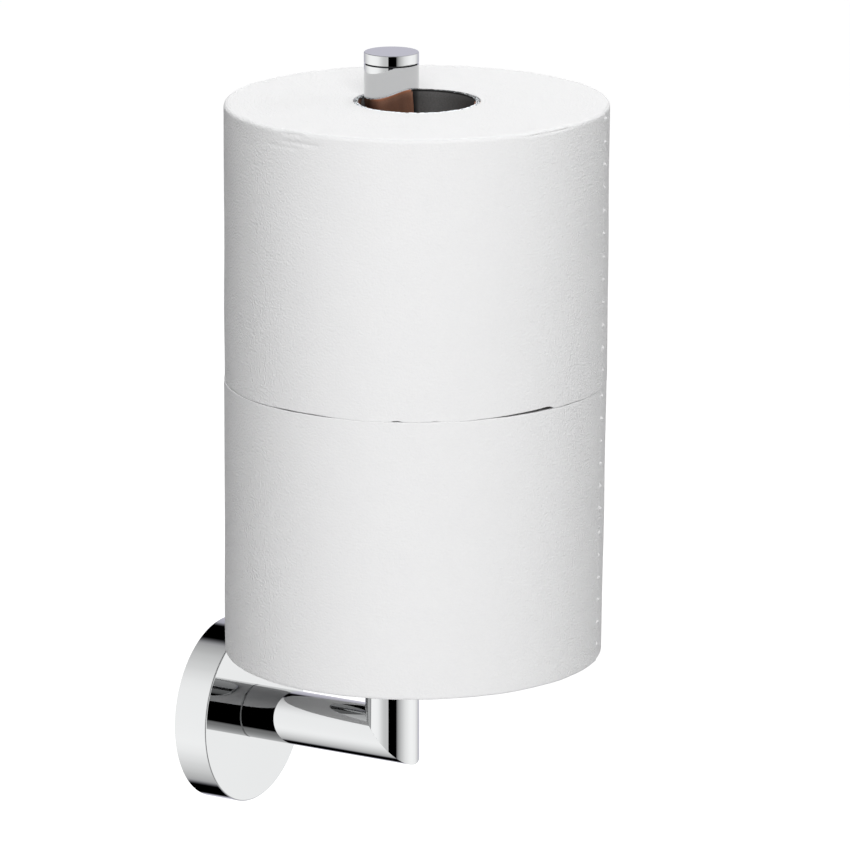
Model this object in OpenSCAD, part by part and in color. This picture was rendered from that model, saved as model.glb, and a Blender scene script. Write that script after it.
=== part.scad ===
// Wall holder for spare toilet rolls: a round rose, a short arm, a mitred corner and an upright rod,
// with two rolls threaded on the rod.
// The wall is the plane y = 0 and the arm comes out along -Y. The rod stands along +Z.
// The origin is the centre of the rose's back face, so the arm's axis is at z = 0.

/* [Tube] */
// Outside diameter of the arm and of the rod
tube_d = 19; // [16:0.5:22]
// Wall thickness of both tubes
tube_wall = 1.5; // [1:0.1:2]
// Distance from the wall to the rod's axis
reach = 70; // [65:1:100]
// Height from the arm's axis to the top of the end cap
rise = 244; // [150:1:320]
// Chamfer on the arm's end, where it meets the rose
arm_chamfer = 0.4; // [0.1:0.1:0.8]

/* [End cap] */
// Height of the cap's head
cap_h = 3.5; // [2:0.1:8]
// Height of the shadow groove under the head
groove_h = 0.6; // [0.3:0.1:1.5]
// Depth of the shadow groove
groove_depth = 0.6; // [0.3:0.1:1]
// Round on the head's top edge
cap_edge = 0.4; // [0.2:0.1:1]
// Length of the spigot inside the rod
spigot_l = 10; // [5:1:20]

/* [Rose] */
// Diameter of the rose
rose_d = 65; // [58:1:80]
// Depth of the rose, out from the wall
rose_depth = 13; // [12.5:0.5:20]
// Thickness of the rose's rim
rose_wall = 2.5; // [2:0.1:3.5]
// Thickness of the rose's front face
rose_face = 3; // [2:0.1:3.5]
// Round on the rose's front edge
rose_edge = 0.5; // [0.2:0.1:1.5]

/* [Wall plate] */
// Thickness of the plate against the wall
plate_t = 3.2; // [2.5:0.1:4]
// Thickness of the plate's standing ring
ring_t = 3; // [2.5:0.1:4]
// Distance between the two wall screws
slot_spacing = 36; // [30:1:40]
// Width of the screw slots
slot_w = 5.2; // [4:0.1:6]
// Length of the screw slots, end to end
slot_l = 8.2; // [7:0.1:10]
// Depth of the groove that the rose's set screw grips
grip_depth = 1.5; // [1:0.1:2]

/* [Fixings] */
// Thread diameter of the screw that holds the arm
arm_screw_d = 6; // [4:1:6]
// Length of that screw under its head
arm_screw_l = 16; // [12:1:20]
// Diameter of that screw's head
arm_head_d = 10.5; // [8:0.5:12]
// Height of that screw's head
arm_head_h = 3.3; // [2.5:0.1:3.5]
// Width across the flats of that screw's hexagon socket
arm_key = 4; // [3:0.5:5]
// Outside diameter of the spring washer
washer_d = 11; // [9:0.5:14]
// Thickness of the spring washer
washer_t = 1.5; // [1:0.1:1.8]
// Width of the spring washer's split
washer_split = 1.4; // [0.8:0.1:2]
// Length of the tapped plug in the arm
plug_l = 18; // [16:1:30]
// Diameter of the locating pin
pin_d = 2.5; // [2:0.1:3]
// Length of the locating pin
pin_l = 8; // [6:0.5:12]
// Thread diameter of the two set screws
grub_d = 4; // [3:0.5:5]
// Width across the flats of their hexagon sockets
grub_key = 2; // [1.5:0.1:2.5]
// Depth of their hexagon sockets
grub_key_depth = 1.6; // [1:0.1:2]
// How far the set screws stand below the surface
grub_sunk = 0.2; // [0.1:0.1:0.5]

/* [Roll rest] */
// Height of the lower roll's underside above the arm's axis
rest_z = 33.5; // [28:0.5:60]
// Diameter of the disc under the rolls
rest_d = 74; // [44:1:100]
// Thickness of the disc
rest_t = 1.6; // [1.5:0.1:5]
// Wall thickness of the hub under the disc
hub_wall = 4.5; // [3.5:0.1:8]
// Height of the hub under the disc
hub_h = 9; // [7:0.5:14]
// Round on the disc's edge
rest_edge = 0.5; // [0.2:0.1:0.7]

/* [Rolls] */
// Diameter of a full roll
roll_d = 133; // [90:1:135]
// Height of a roll
roll_h = 97; // [80:1:110]
// Bore of the cardboard tube
core_bore = 40; // [38:0.5:50]
// Wall thickness of the cardboard tube
core_wall = 1.8; // [0.8:0.1:3]
// Soft round on the paper's edges
paper_edge = 1.6; // [0.5:0.1:3]
// How much less the lower roll is pushed out from the wall than the upper one
lower_play = 1; // [0:0.1:3]

/* [Clearances] */
// Radial clearance of pins, threads and plugs in their holes
fit_gap = 0.05; // [0.02:0.01:0.1]
// Radial clearance of the wall plate in the rose
plate_gap = 0.4; // [0.2:0.1:0.8]
// Room between the plate's ring and the rose's inner face
ring_gap = 2; // [1:0.1:2.5]
// Room between a set screw's point and what it bears on
point_gap = 0.1; // [0.05:0.01:0.2]
// Gap between the rod and the tube that leans on it
lean_gap = 0.3; // [0.2:0.05:0.6]
// Gap under each standing roll
seat_gap = 0.3; // [0.2:0.05:0.5]
// Gap between the paper and its cardboard tube
wound_gap = 0.1; // [0.05:0.01:0.2]

/* [Hidden] */
$fn = 96;

// The tubes
tube_r = tube_d / 2;
bore_r = tube_r - tube_wall;
rod_top = rise - cap_h - groove_h;

// The rose and the plate in it, with depths measured out from the wall
rose_r = rose_d / 2;
cavity_r = rose_r - rose_wall;
cavity_depth = rose_depth - rose_face;
plate_r = cavity_r - plate_gap;
ring_front = cavity_depth - ring_gap;
grip_at = (plate_t + ring_front) / 2;

// The screw that holds the arm: its head bears on the washer, and the washer on the rose's inner face
arm_screw_r = arm_screw_d / 2;
head_seat = cavity_depth - washer_t;
arm_key_depth = arm_head_h / 2;
// The pin stands halfway between the screw's thread and the plug's outside
pin_r = pin_d / 2;
pin_at = (arm_screw_r + bore_r) / 2;
pin_start = cavity_depth + fit_gap;

// The set screws' cone points are turned at 45 degrees, down to a small flat
grub_r = grub_d / 2;
grub_flat = grub_r / 4;
grub_cone = grub_r - grub_flat;

// The rest and its hub
rest_top = rest_z - seat_gap;
rest_bottom = rest_top - rest_t;
hub_r = tube_r + fit_gap + hub_wall;
rest_bore_r = tube_r + fit_gap;
rest_grub_z = rest_bottom - hub_h / 2;

// The rolls hang out from the wall, against the rod
core_r = core_bore / 2;
core_outer_r = core_r + core_wall;
upper_shift = core_r - tube_r - lean_gap;
lower_shift = upper_shift - lower_play;
upper_z = rest_z + roll_h + seat_gap;

// How far a cutting tool runs past the face that it cuts
over = 1;

// Turns a shape so that its height runs out from the wall and its y runs up
module out_from_wall() {
    rotate([90, 0, 0]) children();
}

// A disc profile, from the axis out to r and from 0 up to h, with a round of radius e at its top
// edge, and at its bottom edge too where both is true
module disc_profile(r, h, e, both = false) {
    difference() {
        square([r, h]);
        translate([r - e, h - e]) corner_waste(e);
        if (both) translate([r - e, e]) mirror([0, 1]) corner_waste(e);
    }
}

// What a round of radius e takes off a corner
module corner_waste(e) {
    difference() {
        square(e + over);
        circle(r = e);
    }
}

// A tube on the z axis
module tube(r_out, r_in, h) {
    difference() {
        cylinder(r = r_out, h = h);
        translate([0, 0, -over]) cylinder(r = r_in, h = h + 2 * over);
    }
}

// A hexagon socket cut down from z = 0, measured across its flats
module hexagon_socket(flats, depth) {
    translate([0, 0, -depth]) cylinder(r = flats / 2 / cos(30), h = depth + over, $fn = 6);
}

// A set screw standing on its flat point at z = 0, with its socket at the top
module set_screw(l) {
    thread_r = grub_r - fit_gap;
    difference() {
        union() {
            cylinder(r1 = grub_flat, r2 = thread_r, h = thread_r - grub_flat);
            translate([0, 0, thread_r - grub_flat]) cylinder(r = thread_r, h = l - thread_r + grub_flat);
        }
        translate([0, 0, l]) hexagon_socket(grub_key, grub_key_depth);
    }
}

// What is cut off beyond the mitre plane, which slopes through the corner at 45 degrees:
// side 1 is above the plane and side 0 is below it
module beyond_mitre(side) {
    reach_of_cut = 3 * tube_d;
    translate([0, -reach, 0]) rotate([45, 0, 0])
        translate([-reach_of_cut, -reach_of_cut, (side - 1) * reach_of_cut])
            cube([2 * reach_of_cut, 2 * reach_of_cut, reach_of_cut]);
}

// The chromed cup: its face carries the arm, and its rim hides the plate
module rose_cover() {
    color("silver") out_from_wall() difference() {
        rotate_extrude() disc_profile(rose_r, rose_depth, rose_edge);
        translate([0, 0, -over]) cylinder(r = cavity_r, h = cavity_depth + over);
        cylinder(r = arm_screw_r + fit_gap, h = rose_depth + over);
        translate([0, pin_at, 0]) cylinder(r = pin_r + fit_gap, h = rose_depth + over);
        // the tapped hole at the bottom of the rim
        translate([0, 0, grip_at]) rotate([90, 0, 0]) cylinder(r = grub_r, h = rose_r + over);
    }
}

// The plate that is screwed to the wall: a disc with a standing ring that the set screw grips
module wall_plate() {
    color("gray") out_from_wall() difference() {
        rotate_extrude() difference() {
            square([plate_r, ring_front]);
            translate([0, plate_t]) square([plate_r - ring_t, ring_front]);
            translate([plate_r, grip_at])
                polygon([[-grip_depth, 0], [over, -grip_depth - over], [over, grip_depth + over]]);
        }
        for (side = [-1, 1]) translate([side * slot_spacing / 2, 0, -over]) screw_slot();
    }
}

// A slot with round ends, along x
module screw_slot() {
    travel = slot_l - slot_w;
    for (end = [-1, 1]) translate([end * travel / 2, 0, 0]) cylinder(r = slot_w / 2, h = plate_t + 2 * over);
    translate([-travel / 2, -slot_w / 2, 0]) cube([travel, slot_w, plate_t + 2 * over]);
}

// The set screw in the rim's underside, with its point in the plate's groove
module rose_grub_screw() {
    point_at = plate_r - grip_depth + grub_flat + point_gap;
    color("dimgray") out_from_wall() translate([0, -point_at, grip_at]) rotate([90, 0, 0])
        set_screw(rose_r - grub_sunk - point_at);
}

// The straight tube from the rose to the mitred corner, chamfered at the rose
module arm_tube() {
    color("silver") difference() {
        out_from_wall() translate([0, 0, rose_depth]) difference() {
            tube(tube_r, bore_r, reach + tube_r - rose_depth);
            rotate_extrude() translate([tube_r - arm_chamfer, 0])
                polygon([[-over, -over], [arm_chamfer + over, arm_chamfer + over], [arm_chamfer + over, -over]]);
        }
        beyond_mitre(1);
    }
}

// The brass plug in the arm's end, tapped for the screw and drilled for the pin
module arm_end_plug() {
    color("goldenrod") out_from_wall() translate([0, 0, rose_depth]) difference() {
        cylinder(r = bore_r - fit_gap, h = plug_l);
        translate([0, 0, -over]) cylinder(r = arm_screw_r, h = plug_l + 2 * over);
        translate([0, pin_at, -over]) cylinder(r = pin_r + fit_gap, h = pin_l + over);
    }
}

// The screw that pulls the arm against the rose
module arm_screw() {
    color("dimgray") out_from_wall() translate([0, 0, head_seat]) difference() {
        union() {
            cylinder(r = arm_screw_r - fit_gap, h = arm_screw_l);
            translate([0, 0, -arm_head_h]) cylinder(r = arm_head_d / 2, h = arm_head_h);
        }
        translate([0, 0, -arm_head_h]) mirror([0, 0, 1]) hexagon_socket(arm_key, arm_key_depth);
    }
}

// The split washer under the screw's head
module spring_washer() {
    color("dimgray") out_from_wall() translate([0, 0, head_seat]) difference() {
        tube(washer_d / 2, arm_screw_r + fit_gap, washer_t);
        translate([0, -washer_split / 2, -over]) cube([washer_d, washer_split, washer_t + 2 * over]);
    }
}

// The pin through the rose's face into the plug
module locating_pin() {
    color("dimgray") out_from_wall() translate([0, pin_at, pin_start]) cylinder(r = pin_r, h = pin_l);
}

// The upright tube, from the mitred corner to the end cap
module rod_tube() {
    color("silver") difference() {
        translate([0, -reach, -tube_r]) tube(tube_r, bore_r, rod_top + tube_r);
        beyond_mitre(0);
    }
}

// The cap in the rod's top: head, shadow groove and spigot, turned in one piece
module end_cap() {
    color("silver") translate([0, -reach, rod_top]) {
        translate([0, 0, -spigot_l]) cylinder(r = bore_r - fit_gap, h = spigot_l);
        cylinder(r = tube_r - groove_depth, h = groove_h);
        translate([0, 0, groove_h]) rotate_extrude() disc_profile(tube_r, cap_h, cap_edge);
    }
}

// The disc that the rolls stand on, with the hub that clamps it to the rod
module roll_rest() {
    color("silver") translate([0, -reach, 0]) difference() {
        union() {
            translate([0, 0, rest_bottom]) rotate_extrude() disc_profile(rest_d / 2, rest_t, rest_edge, true);
            translate([0, 0, rest_bottom - hub_h]) cylinder(r = hub_r, h = hub_h);
        }
        translate([0, 0, rest_bottom - hub_h - over]) cylinder(r = rest_bore_r, h = hub_h + rest_t + 2 * over);
        // the tapped hole in the hub, on the side towards the wall
        translate([0, 0, rest_grub_z]) rotate([-90, 0, 0]) cylinder(r = grub_r, h = hub_r + over);
    }
}

// The set screw that holds the hub, on the side towards the wall
module rest_grub_screw() {
    point_at = tube_r + point_gap;
    color("dimgray") translate([0, point_at - reach, rest_grub_z]) rotate([-90, 0, 0])
        set_screw(hub_r - grub_sunk - point_at);
}

// The cardboard tube in the middle of a roll
module roll_core(shift, z) {
    color("peru") translate([0, -reach - shift, z]) tube(core_outer_r, core_r, roll_h);
}

// The wound paper of a roll, with its edges softly rounded
module roll_paper(shift, z) {
    color("white") translate([0, -reach - shift, z]) difference() {
        rotate_extrude() disc_profile(roll_d / 2, roll_h, paper_edge, true);
        translate([0, 0, -over]) cylinder(r = core_outer_r + wound_gap, h = roll_h + 2 * over);
    }
}

module lower_roll_core() { roll_core(lower_shift, rest_z); }
module lower_roll_paper() { roll_paper(lower_shift, rest_z); }
module upper_roll_core() { roll_core(upper_shift, upper_z); }
module upper_roll_paper() { roll_paper(upper_shift, upper_z); }

rose_cover();
wall_plate();
rose_grub_screw();
arm_tube();
arm_end_plug();
arm_screw();
spring_washer();
locating_pin();
rod_tube();
end_cap();
roll_rest();
rest_grub_screw();
lower_roll_core();
lower_roll_paper();
upper_roll_core();
upper_roll_paper();
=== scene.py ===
import math

import bpy
import numpy as np
from mathutils import Matrix, Vector


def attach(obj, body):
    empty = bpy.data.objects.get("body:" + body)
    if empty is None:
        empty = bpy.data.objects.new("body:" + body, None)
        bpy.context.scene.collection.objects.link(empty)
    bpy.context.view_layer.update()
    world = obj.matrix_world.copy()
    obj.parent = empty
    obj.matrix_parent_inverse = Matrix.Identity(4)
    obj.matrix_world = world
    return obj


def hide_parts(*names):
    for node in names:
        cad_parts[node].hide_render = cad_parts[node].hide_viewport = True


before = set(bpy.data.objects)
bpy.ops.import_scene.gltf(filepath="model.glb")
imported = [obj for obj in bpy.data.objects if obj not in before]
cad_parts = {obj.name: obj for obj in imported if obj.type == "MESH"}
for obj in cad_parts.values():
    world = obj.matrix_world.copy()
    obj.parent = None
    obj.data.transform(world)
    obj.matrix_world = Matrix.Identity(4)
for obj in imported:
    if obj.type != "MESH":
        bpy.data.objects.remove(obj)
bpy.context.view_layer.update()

# Camera. It looks from out in the room, to the left of the holder and a little above it, through
# a long lens, so that upright lines stay upright.
scene = bpy.context.scene
camera_azimuth, camera_elevation = math.radians(-58.989), math.radians(13.974)
film_width, focal_length = 36, 288.5


def way_to(azimuth, elevation):
    """The direction to something at an azimuth, counted from straight out of the wall towards
    +X, and at an elevation, both in radians."""
    level = math.cos(elevation)
    return Vector((math.sin(azimuth) * level, -math.cos(azimuth) * level, math.sin(elevation)))


camera_back = way_to(camera_azimuth, camera_elevation)
camera_right = Vector((math.cos(camera_azimuth), math.sin(camera_azimuth), 0))
camera_up = camera_back.cross(camera_right)
camera = bpy.data.objects.new("camera", bpy.data.cameras.new("camera"))
scene.collection.objects.link(camera)
camera.matrix_world = Matrix((camera_right, camera_up, camera_back)).transposed().to_4x4()
camera.location = (-1.96316, -1.26353, 0.68372)
camera.data.sensor_width = film_width
camera.data.lens = focal_length
camera.data.clip_end = 60
scene.camera = camera
scene.view_settings.view_transform = "Standard"

# Floor. A plain pale studio floor far under the holder, which hangs on no wall here. The camera
# sees it white with the holder's shadow on it, and it throws little light up under the rolls.
floor_level, floor_half = -0.45, 20.0
floor_corners = [(x * floor_half, y * floor_half, floor_level)
                 for x, y in ((-1, -1), (1, -1), (1, 1), (-1, 1))]
floor_mesh = bpy.data.meshes.new("floor")
floor_mesh.from_pydata(floor_corners, [], [(0, 1, 2, 3)])
floor = bpy.data.objects.new("floor", floor_mesh)
scene.collection.objects.link(floor)
floor.visible_glossy = False


def node_maker(tree):
    """A function that adds a node to the tree: settings are its properties, and each plug is an
    input's name or number with a value or with another node's output."""
    def add(kind, plugs=None, **settings):
        node = tree.nodes.new(kind)
        for key, value in settings.items():
            setattr(node, key, value)
        for key, value in (plugs or {}).items():
            if isinstance(value, bpy.types.NodeSocket):
                tree.links.new(value, node.inputs[key])
            else:
                node.inputs[key].default_value = value
        return node
    return add


def node_tree(name):
    """A material with an empty node tree, and the function that adds nodes to it."""
    material = bpy.data.materials.new(name)
    material.use_nodes = True
    material.node_tree.nodes.clear()
    return material, node_maker(material.node_tree)


def spread(place, value, start, end, low=0.0, high=1.0, smooth=False):
    """The value carried from between start and end to between low and high, and held outside."""
    limits = {"Value": value, "From Min": start, "From Max": end, "To Min": low, "To Max": high}
    curve = "SMOOTHSTEP" if smooth else "LINEAR"
    return place("ShaderNodeMapRange", limits, interpolation_type=curve).outputs[0]


floor_grey = (0.4, 0.4, 0.4, 1)
shadow_radius, bright_radius = 0.7, 1.3
glow_in_shadow, glow_outside = 0.70, 0.91
floor_paint, add = node_tree("floor_paint")
floor_ray = add("ShaderNodeLightPath")
spot = add("ShaderNodeVectorMath", {0: add("ShaderNodeTexCoord").outputs["Object"]},
           operation="LENGTH")
# the glow is weak under the holder, where its shadow lies, and full from the bright radius on
fade = spread(add, spot.outputs["Value"], shadow_radius, bright_radius, glow_in_shadow,
              glow_outside, smooth=True)
grey = add("ShaderNodeBsdfDiffuse", {"Color": floor_grey})
glow = add("ShaderNodeEmission", {"Color": (1, 1, 1, 1), "Strength": fade})
lit = add("ShaderNodeAddShader", {0: grey.outputs[0], 1: glow.outputs[0]})
paint = add("ShaderNodeMixShader", {0: floor_ray.outputs["Is Camera Ray"], 1: grey.outputs[0],
                                    2: lit.outputs[0]})
# from underneath the floor is clear, so that the holder can be looked at from below
underneath = add("ShaderNodeNewGeometry").outputs["Backfacing"]
clear = add("ShaderNodeMixShader", {0: underneath, 1: paint.outputs[0],
                                    2: add("ShaderNodeBsdfTransparent").outputs[0]})
add("ShaderNodeOutputMaterial", {"Surface": clear.outputs[0]})
floor_mesh.materials.append(floor_paint)

# Studio walls. The plating mirrors them: white all round, dimmer high up, low down and behind the
# holder and low down on the right, with a tall black flag beside the camera and two dark openings.
world = bpy.data.worlds.new("studio")
scene.world = world
world.use_nodes = True
world.node_tree.nodes.clear()
add = node_maker(world.node_tree)


def figure(place, operation, first, second=0.0, third=0.0):
    """One sum on up to three numbers or outputs."""
    return place("ShaderNodeMath", {0: first, 1: second, 2: third}, operation=operation).outputs[0]


def blend(place, share, first, second, kind="MIX"):
    """Two colours, each three numbers or an output, blended by a share."""
    first, second = (c + (1,) if isinstance(c, tuple) else c for c in (first, second))
    mix = place("ShaderNodeMix", {0: share, 6: first, 7: second}, data_type="RGBA", blend_type=kind)
    return mix.outputs[2]


def window(angle, rise, fall):
    """1 between two angles and 0 outside. It rises softly over the first pair of angles and falls
    over the second, all in degrees."""
    up = spread(add, angle, math.radians(rise[0]), math.radians(rise[1]), smooth=True)
    down = spread(add, angle, math.radians(fall[0]), math.radians(fall[1]), 1.0, 0.0, smooth=True)
    return figure(add, "MULTIPLY", up, down)


def ramp(value, stops):
    """A grey level that runs smoothly through the stops, (position, level) pairs."""
    node = add("ShaderNodeValToRGB", {0: value})
    node.color_ramp.interpolation = "CARDINAL"
    while len(node.color_ramp.elements) < len(stops):
        node.color_ramp.elements.new(0.5)
    for element, (position, level) in zip(node.color_ramp.elements, stops):
        element.position = position
        element.color = (level, level, level, 1)
    return node.outputs[0]


direction = add("ShaderNodeTexCoord").outputs["Generated"]
from_camera = add("ShaderNodeVectorRotate", {"Vector": direction, "Angle": -camera_azimuth},
                  rotation_type="Z_AXIS")
split = add("ShaderNodeSeparateXYZ", {0: from_camera.outputs[0]})
around = figure(add, "ARCTAN2", split.outputs[0], figure(add, "MULTIPLY", split.outputs[1], -1.0))
upward = figure(add, "ARCSINE", split.outputs[2])
# around runs from -180 degrees on the left, through 0 at the camera, to 180, and becomes 0 to 1
wall_levels = ramp(figure(add, "MULTIPLY_ADD", around, 1 / (2 * math.pi), 0.5), [
    (0.0, 0.485), (0.047, 0.37), (0.142, 0.68), (0.194, 0.90), (0.239, 1.0), (0.289, 1.0),
    (0.342, 0.935), (0.369, 0.81), (0.40, 0.665), (0.428, 0.60), (0.467, 0.53), (0.556, 0.14),
    (0.569, 0.26), (0.586, 0.42), (0.606, 0.54), (0.644, 0.735), (0.664, 0.83), (0.706, 0.94),
    (0.747, 1.0), (0.786, 0.97), (0.833, 0.875), (0.90, 0.535), (1.0, 0.485)])
# upward runs from straight down to straight up and becomes 0 to 1
dimming = ramp(figure(add, "MULTIPLY_ADD", upward, 1 / math.pi, 0.5), [
    (0.0, 0.45), (0.17, 0.61), (0.19, 0.68), (0.222, 0.785), (0.267, 0.90), (0.317, 0.98),
    (0.372, 1.0), (0.639, 0.965), (0.706, 0.88), (0.756, 0.755), (0.794, 0.66), (0.83, 0.56),
    (1.0, 0.40)])
flag = figure(add, "MULTIPLY", window(around, (-13.5, -12), (20, 22)),
              window(upward, (-55, -48), (45, 55)))
opening = figure(add, "MULTIPLY", window(around, (-175.5, -170), (-149, -131)),
                 window(figure(add, "ABSOLUTE", upward), (29, 33), (58, 66)))
low_right = figure(add, "MULTIPLY", window(around, (25, 50), (125, 160)),
                   window(upward, (-95, -92), (-38, -22)))
low_right_loss = 0.27
shade = figure(add, "MULTIPLY_ADD", low_right, -low_right_loss, 1.0)
unblocked = figure(add, "MULTIPLY", figure(add, "SUBTRACT", 1.0, flag),
                   figure(add, "SUBTRACT", 1.0, opening))
shown = figure(add, "MULTIPLY", figure(add, "MULTIPLY", unblocked, shade),
               figure(add, "MULTIPLY", wall_levels, dimming))
# what is behind the holder is faintly lilac
behind = window(figure(add, "ABSOLUTE", around), (120, 170), (181, 182))
room_white, lilac = (0.995, 1.0, 0.998), (0.97, 0.96, 1.09)
tinted = blend(add, 1.0, blend(add, behind, room_white, lilac), shown, "MULTIPLY")
# the rolls and the floor see the even grey of the air instead, and the camera a white backdrop
walls_strength, air_grey = 1.55, (0.20, 0.20, 0.203, 1)
walls = add("ShaderNodeBackground", {"Color": tinted, "Strength": walls_strength})
air = add("ShaderNodeBackground", {"Color": air_grey, "Strength": 1.0})
backdrop = add("ShaderNodeBackground", {"Color": (1, 1, 1, 1), "Strength": 1.0})
studio_ray = add("ShaderNodeLightPath")
mirrored = add("ShaderNodeMixShader", {0: studio_ray.outputs["Is Glossy Ray"], 1: air.outputs[0],
                                       2: walls.outputs[0]})
seen = add("ShaderNodeMixShader", {0: studio_ray.outputs["Is Camera Ray"], 1: mirrored.outputs[0],
                                   2: backdrop.outputs[0]})
add("ShaderNodeOutputWorld", {"Surface": seen.outputs[0]})


def softbox(name, azimuth, elevation, distance, size, power):
    """An area lamp, in metres and watts, that looks at the middle of the rolls, from an azimuth
    measured from the camera's to its right, in degrees."""
    lamp = bpy.data.lights.new(name, "AREA")
    lamp.shape, lamp.size, lamp.size_y, lamp.energy = "RECTANGLE", size[0], size[1], power
    box = bpy.data.objects.new(name, lamp)
    scene.collection.objects.link(box)
    middle_of_rolls = Vector((0, -0.08, 0.12))
    way = way_to(camera_azimuth + math.radians(azimuth), math.radians(elevation))
    facing = way.to_track_quat("Z", "Y").to_matrix().to_4x4()
    box.matrix_world = Matrix.Translation(middle_of_rolls + way * distance) @ facing
    box.visible_glossy = False
    box.visible_camera = False


# a big lamp over the camera, one above and behind, one on the right and a weak one under the rolls
softbox("key_light", azimuth=0.3, elevation=28, distance=2.4, size=(1.5, 1.2), power=46)
softbox("top_light", azimuth=180, elevation=68, distance=1.6, size=(1.4, 1.4), power=19)
softbox("side_light", azimuth=104, elevation=14, distance=2.2, size=(1.0, 1.4), power=8)
softbox("low_light", azimuth=0, elevation=-88, distance=0.42, size=(0.6, 0.6), power=0.68)

# Bright fittings: the rose, the arm, the rod with its cap, and the rest under the rolls. They are
# brass, ground and polished, then nickel and chrome plated, which mirrors with hardly a mark.
reach = 0.070


def noise(place, where, scale, detail, stretch=None, roughness=0.5):
    """Cloudy noise from 0 to 1. Its scale is in waves per metre, times the stretch of each axis."""
    if stretch:
        where = place("ShaderNodeMapping", {"Vector": where, "Scale": stretch}).outputs[0]
    settings = {"Vector": where, "Scale": scale, "Detail": detail, "Roughness": roughness}
    return place("ShaderNodeTexNoise", settings).outputs[0]


def polish_marks():
    """A node group: what polishing and handling leave on bright metal. Broad is the size of the
    waves a buffing wheel leaves and Fine that of the hairlines, both in marks per metre."""
    group = bpy.data.node_groups.new("polish_marks", "ShaderNodeTree")
    for label in ("Broad", "Fine", "Smooth", "Dull"):
        group.interface.new_socket(label, in_out="INPUT", socket_type="NodeSocketFloat")
    for label in ("Roughness", "Height", "Patches"):
        group.interface.new_socket(label, in_out="OUTPUT", socket_type="NodeSocketFloat")
    place = node_maker(group)
    given = place("NodeGroupInput")
    where = place("ShaderNodeTexCoord").outputs["Object"]
    drawn_out, tilt, hair_height = (1.0, 1.0, 0.06), (0.3, 0.5, 0.2), 0.1
    drawn = place("ShaderNodeMapping", {"Vector": where, "Scale": drawn_out, "Rotation": tilt})
    buffed = noise(place, where, given.outputs["Broad"], 2.0)
    streaks = noise(place, drawn.outputs[0], given.outputs["Fine"], 3.0)
    hairs = spread(place, streaks, 0.55, 0.75, smooth=True)
    worn = figure(place, "MULTIPLY", hairs, buffed)
    rough = spread(place, worn, 0.0, 0.8, given.outputs["Smooth"], given.outputs["Dull"])
    tall = figure(place, "MULTIPLY_ADD", hairs, hair_height, buffed)
    place("NodeGroupOutput", {"Roughness": rough, "Height": tall, "Patches": buffed})
    return group


marks_group = polish_marks()


def metal(name, colour, patch_colour, broad, fine, smooth, dull, depth):
    """A bare or plated metal: its colour, the colour of its faint patches, how big the marks of its
    polish are, how smooth and how dull it gets, and how deep the marks are, in metres."""
    material, place = node_tree(name)
    marks = place("ShaderNodeGroup", node_tree=marks_group)
    for label, value in (("Broad", broad), ("Fine", fine), ("Smooth", smooth), ("Dull", dull)):
        marks.inputs[label].default_value = value
    tint = blend(place, marks.outputs["Patches"], colour, patch_colour)
    bump = place("ShaderNodeBump", {"Height": marks.outputs["Height"], "Strength": 1.0,
                                    "Distance": depth})
    surface = place("ShaderNodeBsdfPrincipled", {"Base Color": tint, "Metallic": 1.0,
                                                 "Roughness": marks.outputs["Roughness"],
                                                 "Normal": bump.outputs[0]})
    place("ShaderNodeOutputMaterial", {"Surface": surface.outputs[0]})
    return material


def chrome(name):
    """Bright chrome plate."""
    return metal(name, (0.552, 0.556, 0.560), (0.566, 0.570, 0.572), broad=40.0, fine=700.0,
                 smooth=0.008, dull=0.03, depth=1.5e-7)


bright_chrome = chrome("bright_chrome")
for fitting in ("rose_cover", "arm_tube", "rod_tube", "roll_rest"):
    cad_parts[fitting].data.materials[0] = bright_chrome


def capped(material):
    """The cap's own finish: bright like the rest, but its neck, deep in the shadow groove, has
    painted shade, a dark matt grey. It is found by its height and radius, in metres."""
    neck_radius, groove_middle, groove_half = 0.00895, 0.2402, 0.00035
    dark, less_dark = (0.022, 0.022, 0.024), (0.05, 0.05, 0.053)
    tree = material.node_tree
    place = node_maker(tree)
    output = next(node for node in tree.nodes if node.bl_idname == "ShaderNodeOutputMaterial")
    bright = output.inputs["Surface"].links[0].from_socket
    where = place("ShaderNodeSeparateXYZ", {0: place("ShaderNodeTexCoord").outputs["Object"]})
    from_axis = figure(place, "ADD", where.outputs[1], reach)
    sideways = place("ShaderNodeCombineXYZ", {0: where.outputs[0], 1: from_axis}).outputs[0]
    across = place("ShaderNodeVectorMath", {0: sideways}, operation="LENGTH")
    narrow = figure(place, "LESS_THAN", across.outputs["Value"], neck_radius)
    in_groove = figure(place, "COMPARE", where.outputs[2], groove_middle, groove_half)
    # painted shade: the neck's mottled dark matt grey stands in for the shade deep in the groove
    groove_shade_mottle = place("ShaderNodeTexNoise", {"Scale": 2000.0, "Detail": 2.0})
    painted_groove_shade = place("ShaderNodeBsdfDiffuse", {"Color": blend(place, groove_shade_mottle.outputs[0], dark, less_dark)})
    neck = figure(place, "MULTIPLY", narrow, in_groove)
    both = place("ShaderNodeMixShader", {0: neck, 1: bright, 2: painted_groove_shade.outputs[0]})
    tree.links.new(both.outputs[0], output.inputs["Surface"])
    return material


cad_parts["end_cap"].data.materials[0] = capped(chrome("grooved_chrome"))

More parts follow.
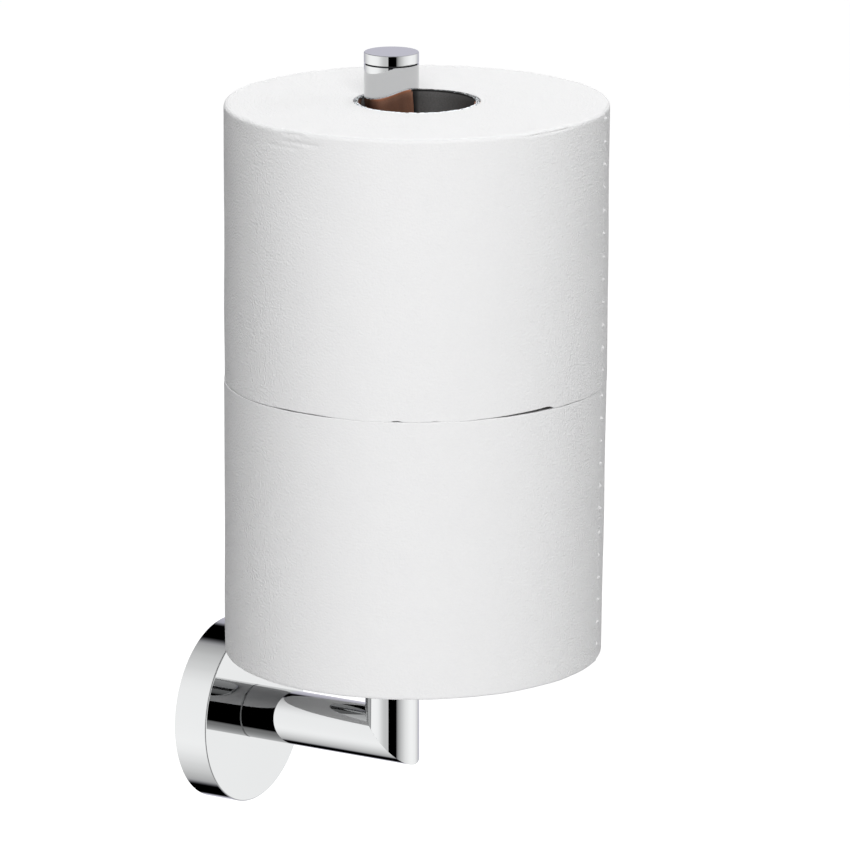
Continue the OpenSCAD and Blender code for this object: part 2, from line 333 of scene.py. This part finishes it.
# Hidden fixings: the pressed wall plate is zinc plated, the screws, washer and pin are plain steel,
# and the plug soldered into the arm is turned brass.
zinc = metal("zinc_plate", (0.47, 0.48, 0.49), (0.60, 0.60, 0.58), broad=160.0, fine=1500.0,
             smooth=0.28, dull=0.5, depth=4e-6)
steel = metal("screw_steel_finish", (0.30, 0.30, 0.31), (0.38, 0.37, 0.36), broad=220.0,
              fine=2500.0, smooth=0.25, dull=0.45, depth=4e-6)
turned_brass = metal("turned_brass", (0.78, 0.57, 0.28), (0.70, 0.49, 0.24), broad=120.0,
                     fine=3000.0, smooth=0.2, dull=0.38, depth=5e-6)
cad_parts["wall_plate"].data.materials[0] = zinc
for fixing in ("rose_grub_screw", "rest_grub_screw", "arm_screw", "spring_washer", "locating_pin"):
    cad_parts[fixing].data.materials[0] = steel
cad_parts["arm_end_plug"].data.materials[0] = turned_brass

# Cardboard cores. Each roll is wound on a tube of grey board, itself wound on the slant from
# strips, so a seam climbs round it and the cut ends show their plies.
roll_height = 0.097
core_bore_radius, core_wall = 0.020, 0.0018


def closed_surface(name, points, unrolled, material, body, node):
    """A piece from a grid of points that closes on itself both ways. unrolled holds the same grid
    with its first row and column repeated at the end, laid flat in metres, for the material.
    The piece rides on the body, stands for the CAD node and takes its finish from the slot."""
    sharp_from = math.radians(50)
    across, along = points.shape[:2]
    i, j = np.meshgrid(np.arange(across), np.arange(along), indexing="ij")
    corners = [(i, j), (i + 1, j), (i + 1, j + 1), (i, j + 1)]
    faces = np.stack([(a % across) * along + b % along for a, b in corners], -1).reshape(-1, 4)
    flat = np.stack([unrolled[a, b] for a, b in corners], 2).reshape(-1, 2)
    mesh = bpy.data.meshes.new(name)
    mesh.from_pydata(points.reshape(-1, 3), [], faces)
    mesh.uv_layers.new(name="unrolled").data.foreach_set("uv", flat.astype(np.float32).ravel())
    mesh.polygons.foreach_set("use_smooth", np.ones(len(faces), bool))
    mesh.set_sharp_from_angle(angle=sharp_from)
    mesh.materials.append(material)
    piece = bpy.data.objects.new(name, mesh)
    scene.collection.objects.link(piece)
    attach(piece, body)
    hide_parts(node)
    return piece


def mark(piece, name, values):
    """A number between 0 and 1 for each point of the piece, for the material."""
    attribute = piece.data.attributes.new(name, "FLOAT", "POINT")
    attribute.data.foreach_set("value", values.astype(np.float32).ravel())


def line(start, end, steps):
    """Points along a straight line, with its start and without its end."""
    t = np.arange(steps)[:, None] / steps
    return np.array(start) * (1 - t) + np.array(end) * t


def run_along(profile):
    """How far along the closed profile each of its points lies, and at the end its whole length."""
    steps = np.diff(np.vstack([profile, profile[:1]]), axis=0)
    return np.concatenate([[0], np.cumsum(np.hypot(*steps.T))])


def waves(seed, count, turns, rises):
    """A smooth uneven surface from 0 at its mean, about 1 high: a sum of slanted cosines with whole
    numbers of waves round the roll, so that it closes, and up to rises waves up its height."""
    draw = np.random.default_rng(seed)
    n = draw.integers(1, turns + 1, count)
    m = draw.uniform(-rises, rises, count)
    phase = draw.uniform(0, 2 * np.pi, count)
    return lambda angle, rise: sum(np.cos(a * angle + b * 2 * np.pi * rise + c)
                                   for a, b, c in zip(n, m, phase)) / math.sqrt(count)


def cardboard(name):
    """Board for one core. On the unrolled map the first axis runs round the bore from the side
    towards the room, and the second up the outside, over the cut top and down the bore."""
    board, place = node_tree(name)

    def total(operation, *terms):
        return figure(place, operation, *terms)

    def off(value, middle):
        return total("ABSOLUTE", total("SUBTRACT", value, middle))

    flat = place("ShaderNodeUVMap", uv_map="unrolled").outputs[0]
    parts = place("ShaderNodeSeparateXYZ", {0: flat})
    across, along = parts.outputs[0], parts.outputs[1]
    turn = total("DIVIDE", across, core_bore_radius)
    round_core = total("COSINE", turn)
    bore_start = roll_height + core_wall

    # the strips climb 0.20 m in a turn, and more than half of each turn is kraft, the rest grey
    # board; where they start, how wide they are and how they waver are shares of a turn
    strip_climb, strip_start, waver = 0.20, 0.0108, 0.03
    kraft_half, kraft_blur, seam_width = 0.2858, 0.005, 0.006
    share = total("DIVIDE", across, 2 * math.pi * core_bore_radius)
    climb = total("MULTIPLY_ADD", along, -1 / strip_climb, share)
    even_strip = total("FRACT", total("ADD", climb, strip_start))
    wobble = total("SUBTRACT", noise(place, flat, 260.0, 4.0), 0.5)
    off_middle = off(total("MULTIPLY_ADD", wobble, waver, even_strip), 0.5)
    kraft = spread(place, off_middle, kraft_half - kraft_blur, kraft_half + kraft_blur, 1.0, 0.0)
    seam = spread(place, off(off_middle, kraft_half), 0.0, seam_width, 1.0, 0.0)
    fibres = noise(place, flat, 1800.0, 6.0, roughness=0.7)
    specks = noise(place, flat, 5200.0, 2.0)

    # the grey board is darker on the right, and the kraft lighter at its sides, with painted shade
    # at its left seam, in the rod's shadow; turns are in radians right of the side towards the room
    left_shade_turn, torn_turn = 4.35, 1.75
    grey_level_round_bore = spread(place, turn, 1.9, 4.3, 0.6, 2.1)
    sides_lighter = spread(place, round_core, 0.0, 0.9, 1.85, 0.88)
    painted_left_shade = spread(place, off(turn, left_shade_turn), 0.33, 0.75, 0.12, 1.0)
    plain_grey = blend(place, fibres, (0.03, 0.03, 0.03), (0.135, 0.134, 0.133))
    grey_board = blend(place, 1.0, plain_grey, grey_level_round_bore, "MULTIPLY")
    plain_kraft = blend(place, fibres, (0.37, 0.178, 0.115), (0.60, 0.335, 0.232))

    # the kraft has a painted highlight along the top edge of the bore, on the side towards the room,
    # and is torn off there at its right seam
    bore_top_band = spread(place, along, bore_start + 0.0002, bore_start + 0.0010, 1.0, 0.0)
    front = spread(place, round_core, -0.05, 0.3)
    painted_highlight_share = total("MULTIPLY", bore_top_band, front)
    painted_highlight_kraft = blend(place, painted_highlight_share, plain_kraft, (0.64, 0.27, 0.15))
    # painted shade: the kraft is multiplied darker towards its left seam
    painted_shade_kraft = blend(place, 1.0, painted_highlight_kraft, total("MULTIPLY", painted_left_shade, sides_lighter), "MULTIPLY")
    torn_off = spread(place, off(turn, torn_turn), 0.15, 0.30, 1.0, 0.0)
    left_on = total("SUBTRACT", 1.0, total("MULTIPLY", bore_top_band, torn_off))
    seam_darkness = 0.6
    lined = blend(place, total("MULTIPLY", kraft, left_on), grey_board, painted_shade_kraft)
    seamed = blend(place, total("MULTIPLY", seam, seam_darkness), lined, (0.03, 0.025, 0.02))
    bore = blend(place, 1.0, seamed, spread(place, specks, 0.3, 0.7, 0.75, 1.2), "MULTIPLY")

    # the worn top edge of the bore is drawn near black on the far side, as a thin dark line
    far_rim_band = spread(place, along, bore_start + 0.0001, bore_start + 0.0005, 1.0, 0.0)
    far_side = spread(place, round_core, -0.35, -0.1, 1.0, 0.0)
    edged = blend(place, total("MULTIPLY", far_rim_band, far_side), bore, (0.006, 0.006, 0.006))

    # the cut ends show pale torn fibre between dark plies, and are paler towards the room; the bluish
    # white is partly a painted highlight along the edge
    paler_to_room = 0.13
    torn = noise(place, flat, 4200.0, 5.0, stretch=(0.12, 1.0, 1.0))
    plies = spread(place, total("MULTIPLY_ADD", round_core, paler_to_room, torn), 0.46, 0.56)
    cut_board = blend(place, plies, (0.05, 0.05, 0.05), (0.90, 0.94, 0.97))
    cut = place("ShaderNodeAttribute", attribute_name="cut_end").outputs["Fac"]
    seam_depth, fibre_depth = 1.5, 0.00008
    grain = total("MULTIPLY_ADD", seam, -seam_depth, fibres)
    bump = place("ShaderNodeBump", {"Height": grain, "Strength": 1.0, "Distance": fibre_depth})
    dry = spread(place, fibres, 0.0, 1.0, 0.75, 1.0)
    surface = place("ShaderNodeBsdfPrincipled", {"Base Color": blend(place, cut, edged, cut_board),
                                                 "Roughness": dry, "Normal": bump.outputs[0],
                                                 "Specular IOR Level": 0.2})
    place("ShaderNodeOutputMaterial", {"Surface": surface.outputs[0]})
    return board


def core(name, body, node, centre_y, bottom, lean, seed):
    """A tube of board: a closed profile of outside, cut top, bore and cut bottom, with worn inner
    edges, turned round the roll's axis. The cut ends are ragged by sums of waves, and the plies
    stand a little apart. Its bottom and its top stand off its middle by the two lengths in lean,
    towards the wall."""
    columns, end_steps, side_steps, worn_steps = 300, 14, 40, 3
    worn_width, worn_depth = 0.0004, 0.0005
    rough, ply_gap, plies_across = 0.00006, 0.00010, 3.5
    h, inner, outer = roll_height, core_bore_radius, core_bore_radius + core_wall
    rim = inner + worn_width
    profile = np.concatenate([line((outer, 0), (outer, h), side_steps),
                              line((outer, h), (rim, h), end_steps),
                              line((rim, h), (inner, h - worn_depth), worn_steps),
                              line((inner, h - worn_depth), (inner, worn_depth), side_steps),
                              line((inner, worn_depth), (rim, 0), worn_steps),
                              line((rim, 0), (outer, 0), end_steps)])
    angle = (np.arange(columns + 1) / columns * 2 * np.pi)[:, None]
    radius = np.concatenate([profile[:, 0], profile[:1, 0]])[None, :]
    rise = np.concatenate([profile[:, 1], profile[:1, 1]])[None, :]
    at_end = np.minimum(rise, h - rise) < 1e-9
    inward = (outer - radius) / core_wall
    ragged = waves(seed, count=30, turns=70, rises=0)
    ply_steps = waves(seed + 1, count=24, turns=40, rises=1.5)
    uneven = waves(seed + 2, count=12, turns=5, rises=1)
    apart = ply_gap * (1 + np.cos(inward * 2 * np.pi * plies_across)) / 2
    dip = at_end * (rough + rough * ragged(angle, 0) + apart + rough * ply_steps(angle, inward * 4))
    rise = rise + np.where(rise > h / 2, -1, 1) * np.maximum(dip, 0.0)
    radius = radius + rough * uneven(angle, rise / h) * np.where(inward > 0.5, 1, 0)
    turned = angle + camera_azimuth - math.pi / 2
    middle = centre_y + lean[0] + (lean[1] - lean[0]) * rise / h
    points = np.stack(np.broadcast_arrays(
        radius * np.cos(turned), radius * np.sin(turned) + middle, rise + bottom), -1)[:-1, :-1]
    unrolled = np.stack(np.broadcast_arrays(angle * inner, run_along(profile)[None, :]), -1)
    piece = closed_surface(name, points, unrolled, cardboard(name + "_board"), body, node)
    # the flat of the cut ends, without the points on their two edges
    on_end = at_end & (inward > 0.02) & (inward < 0.98)
    mark(piece, "cut_end", np.broadcast_to(on_end, (columns + 1, on_end.shape[1]))[:-1, :-1])


# the rolls stand farther out from the wall than the rod, as far as their play on it goes
lower_axis, upper_axis = -reach - 0.0092, -reach - 0.0102
lower_bottom, upper_bottom = 0.0335, 0.1308
# the stack leans out from the wall a little, so that the two rolls stand flush at their seam
lower_lean, upper_lean = (0.0005, -0.0004), (0.00043, 0.0)
core("lower_core", "lower_roll", "lower_roll_core", lower_axis, lower_bottom, lower_lean, seed=11)
core("upper_core", "upper_roll", "upper_roll_core", upper_axis, upper_bottom, upper_lean, seed=12)

# Paper. Soft bleached tissue, wound flat and tight on its core and cut to length by a saw, so the
# ends are matt and faintly ringed. The loose end is torn along its perforation and lies on the roll.
paper_radius, paper_bore = 0.0665, 0.0219
sheet_step = 0.00022
tail_azimuth = math.radians(74.5)
mm = 0.001


def tissue():
    """Bleached tissue: fibre and crepe in the bump, cloudy in its whiteness, on the unrolled map."""
    material, place = node_tree("tissue_paper")
    flat = place("ShaderNodeUVMap", uv_map="unrolled").outputs[0]
    end = place("ShaderNodeAttribute", attribute_name="sawn_end").outputs["Fac"]
    fibre = noise(place, flat, 1300.0, 2.0, stretch=(0.5, 1.0, 1.0))
    crepe = noise(place, flat, 1400.0, 1.0, stretch=(1.0, 0.9, 1.0))
    cloud = noise(place, flat, 90.0, 3.0)
    rings = noise(place, flat, 1500.0, 4.0, stretch=(0.01, 1.0, 1.0))
    # the crepe is pressed flatter on the side towards the room, found by the turn from the torn edge
    across = place("ShaderNodeSeparateXYZ", {0: flat}).outputs[0]
    turn = figure(place, "MULTIPLY_ADD", across, 1 / paper_radius, tail_azimuth)
    side_fibre, ring_share, cloud_share = 0.3, 0.8, 0.6
    loose = spread(place, figure(place, "COSINE", turn), 0.55, 0.92, 1.9, 0.3)
    crepes = figure(place, "MULTIPLY", crepe, loose)
    side = figure(place, "MULTIPLY_ADD", fibre, side_fibre, crepes)
    ends = figure(place, "MULTIPLY_ADD", rings, ring_share, fibre)
    crepe_depth = 0.00028
    relief = place("ShaderNodeMix", {0: end, 2: side, 3: ends}).outputs[0]
    bump = place("ShaderNodeBump", {"Height": relief, "Strength": 1.0, "Distance": crepe_depth})
    clouded = figure(place, "MULTIPLY_ADD", cloud, cloud_share, fibre)
    whiteness = spread(place, clouded, 0.45, 1.15)
    white = blend(place, whiteness, (0.868, 0.868, 0.872), (0.892, 0.892, 0.892))
    # between the cut edges of a sawn end some light is lost, and the sawn ends are painted darker,
    # partly as painted shade for the gap between the two rolls
    sawn_end_shade = 0.89
    toned = blend(place, 1.0, white, spread(place, end, 0.0, 1.0, 1.0, sawn_end_shade), "MULTIPLY")
    dry = spread(place, fibre, 0.0, 1.0, 0.88, 1.0)
    surface = place("ShaderNodeBsdfPrincipled", {"Base Color": toned, "Roughness": dry,
                                                 "Normal": bump.outputs[0],
                                                 "Specular IOR Level": 0.15})
    place("ShaderNodeOutputMaterial", {"Surface": surface.outputs[0]})
    return material


def quarter(centre, radius, start, steps):
    """Points along a quarter turn to the left round a centre, from the angle start in degrees,
    without its end."""
    a = np.radians(start + 90 * np.arange(steps) / steps)
    return np.array(centre) + radius * np.stack([np.cos(a), np.sin(a)], -1)


def stroke(arc, run, start, end, width):
    """A crease: 1 along the line from start to end on the unrolled paper, in metres, fading over
    its width across and towards both its ends."""
    a, b = np.array(start), np.array(end)
    d = (b - a) / np.linalg.norm(b - a)
    along = ((arc - a[0]) * d[0] + (run - a[1]) * d[1]) / np.linalg.norm(b - a)
    across = (-(arc - a[0]) * d[1] + (run - a[1]) * d[0]) / width
    taper = np.clip(np.minimum(along, 1 - along) * 5 + 0.2, 0, 1)
    return taper * np.exp(-across ** 2)


def ease(value, start, end):
    """From 0 at start to 1 at end, level at both."""
    t = np.clip((value - start) / (end - start), 0, 1)
    return t * t * (3 - 2 * t)


def paper_profile(top_edge, bottom_edge):
    """The outline that is turned round the axis: up the outside, over the rounded top edge, in
    over the sawn top, down the bore and out over the bottom, with close points near the rim."""
    side_steps, face_steps, rim_steps, edge_steps, bore_steps = 236, 22, 6, 10, 5
    h, r, b, rim = roll_height, paper_radius, paper_bore, 0.0035
    return np.concatenate([line((r, bottom_edge), (r, h - top_edge), side_steps),
                           quarter((r - top_edge, h - top_edge), top_edge, 0, edge_steps),
                           line((r - top_edge, h), (r - rim, h), rim_steps),
                           line((r - rim, h), (b, h), face_steps - rim_steps),
                           line((b, h), (b, 0), bore_steps),
                           line((b, 0), (r - bottom_edge, 0), face_steps),
                           quarter((r - bottom_edge, bottom_edge), bottom_edge, 270, edge_steps)])


def paper(name, body, node, centre_y, bottom, lean, top_edge, bottom_edge, narrowing, dish, sag,
          seed, creases, clearance):
    """The wound paper: a closed profile of outside, sawn top, bore and sawn bottom, turned round
    the roll's axis from the torn edge once round to it again. The outside's radius grows by one
    sheet over the turn, so the last column stands a sheet above the first. It leans as its core
    does, and narrows towards its bottom. Behind its rim the top end is hollow by the dish. The outer
    windings hang lower than the inner ones by the sag, less the clearance, which runs through
    pairs of an azimuth from the camera's and a height. Creases are strokes with a depth."""
    h = roll_height
    profile = paper_profile(top_edge, bottom_edge)
    length = run_along(profile)
    profile = np.vstack([profile, profile[:1]])
    # arc lengths round the roll from the torn edge: close columns at the edge, where the sheet
    # lifts, wide ones round the back and narrower ones over the front
    close, close_end = np.array([0.0004, 0.0008, 0.0013, 0.002, 0.003]), 0.0045
    back_columns, front_columns, back_turn = 110, 186, math.radians(195.5)
    whole, back = 2 * np.pi * paper_radius, back_turn * paper_radius
    arc = np.concatenate([[0.0], close, np.linspace(close_end, back, back_columns, endpoint=False),
                          np.linspace(back, whole - close_end, front_columns),
                          whole - close[::-1], [whole]])
    columns = len(arc)
    arc, radius, rise = arc[:, None], profile[None, :, 0].copy(), profile[None, :, 1].copy()
    share = arc / whole
    angle = share * 2 * np.pi
    # where a column looks, from the camera's azimuth to its right
    facing = (tail_azimuth + angle + np.pi) % (2 * np.pi) - np.pi
    top, low = rise > h / 2, rise <= h / 2
    # 1 on the outside and down to 0 over the outermost tenth of the ends
    skin = np.clip((radius - 0.9 * paper_radius) / (0.1 * paper_radius), 0, 1)
    uneven = waves(seed, count=26, turns=9, rises=2.5)
    edge_top = waves(seed + 1, count=30, turns=34, rises=0)
    edge_low = waves(seed + 2, count=30, turns=34, rises=0)
    # the side is uneven by 0.06 mm and stands a little inside its full radius
    side_waves, inset = 0.00006, 0.00016
    outward = side_waves * uneven(angle, rise / h) - sheet_step * (1 - share)
    outward = outward - narrowing * (1 - rise / h) - inset

    # the torn edge lifts along its last 1.6 mm, most at the points where the sheets held together
    lifted, lift, dash_lift = 0.0016, 0.00006, 0.00008
    dashes = waves(seed + 3, count=40, turns=1, rises=24)
    dash = np.clip(dashes(0 * rise, rise / h), 0, 1.2)
    lifting = np.clip((arc - (whole - lifted)) / lifted, 0, 1) ** 1.5
    outward = outward + (lift + dash_lift * dash) * lifting
    point_step, first_point, point_height = 0.008, 0.0025, 0.00045
    point_width, point_lift = 0.0009, 0.0007
    off_point = (rise - h + first_point + point_step / 2) % point_step - point_step / 2
    held = np.exp(-(off_point / point_height) ** 2)
    outward = outward + point_lift * held * np.clip((arc - (whole - point_width)) / point_width, 0, 1)

    # the creases, by their arc length from the camera's azimuth and their height from the top edge
    run = rise - h + top * (paper_radius - radius)
    for start, end, width, depth in creases:
        crease = depth * stroke(facing * paper_radius, run, start, end, width)
        outward = outward - crease * (rise > h * 0.6)
    radius = radius + outward * skin

    # the ends: uneven at their outer edge, sagging below, hollow above and faintly ringed
    edge_waves, rim_start, rim_end = 0.00007, 0.0011, 0.0030
    climb = edge_waves * np.where(top, edge_top(angle, 0), edge_low(angle, 0)) * skin
    azimuths, heights = np.array(clearance).T
    drop = np.interp(np.degrees(facing), azimuths, heights * mm, period=360) - sag
    climb = climb + low * ease(radius, 0.57 * paper_radius, paper_radius) * drop
    hollow = ease(paper_radius - radius, rim_start, rim_end)
    hollow = hollow * ease(radius, 0.5 * paper_radius, 0.9 * paper_radius)
    climb = climb - top * hollow * dish * (1 + 0.2 * np.cos(2 * angle) + 0.15 * np.cos(5 * angle + 1))
    face = (radius > paper_bore + 0.0005) & (skin < 1) & ((rise > h - 1e-6) | (rise < 1e-6))
    ring_step, ring_height, loose_height = 0.0041, 0.00004, 0.00003
    loosened = waves(seed + 4, count=14, turns=3, rises=9)
    rings = ring_height * np.cos(radius * 2 * np.pi / ring_step + 1.3 * np.sin(angle))
    rings = rings + loose_height * loosened(angle, radius / paper_radius)

    middle = centre_y + lean[0] + (lean[1] - lean[0]) * rise / h
    rise = rise + climb + face * (1 - skin) * rings
    turned = facing + camera_azimuth - math.pi / 2
    points = np.stack(np.broadcast_arrays(
        radius * np.cos(turned), radius * np.sin(turned) + middle, rise + bottom), -1)[:, :-1]
    unrolled = np.stack(np.broadcast_arrays(arc, length[None, :]), -1)
    unrolled = np.concatenate([unrolled, unrolled[-1:]])
    piece = closed_surface(name, points, unrolled, tissue_paper, body, node)
    sawn = ease(1 - skin, 0.0, 0.12)
    mark(piece, "sawn_end", np.broadcast_to(sawn, (columns, sawn.shape[1]))[:, :-1])


tissue_paper = tissue()
paper("lower_paper", "lower_roll", "lower_roll_paper", lower_axis, lower_bottom, lower_lean,
      top_edge=0.3 * mm, bottom_edge=1.0 * mm, narrowing=0.5 * mm, dish=0.8 * mm, sag=0.6 * mm,
      seed=31, creases=[], clearance=[(0, 0)])
# the upper roll's bottom edge rests on the lower roll, but for some places where it stands clear
paper("upper_paper", "upper_roll", "upper_roll_paper", upper_axis, upper_bottom, upper_lean,
      top_edge=1.6 * mm, bottom_edge=0.25 * mm, narrowing=0.0, dish=0.0, sag=0.3 * mm, seed=41,
      creases=[((38.5 * mm, -1.3 * mm), (61 * mm, -1.0 * mm), 0.35 * mm, 0.4 * mm),
               ((-50 * mm, -1.4 * mm), (-40 * mm, -1.2 * mm), 0.6 * mm, 0.3 * mm),
               ((-51 * mm, -4.2 * mm), (-34 * mm, -4.0 * mm), 0.7 * mm, 0.4 * mm),
               ((-58 * mm, -6.0 * mm), (-42 * mm, -6.0 * mm), 0.7 * mm, 0.28 * mm)],
      clearance=[(-110, 0), (-90, 0.05), (-74, 0.2), (-62, 0.22), (-50, 0.16), (-45, 0.35),
                 (-37, 0.45), (-33, 0.42), (-28, 0.28), (-21, 0.1), (-18, 0), (-7.4, 0),
                 (-6.6, 0.35), (-4.6, 0.35), (-3.8, 0), (4.2, 0), (5, 0.22), (7, 0.22), (7.8, 0),
                 (16, 0), (20, 0.2), (27, 0.5), (36, 0.95), (42, 1.2), (44, 1.1), (45.2, 0.2),
                 (55, 0.2), (66, 0.22), (75, 0.05), (95, 0), (130, 0.25), (150, 0)])
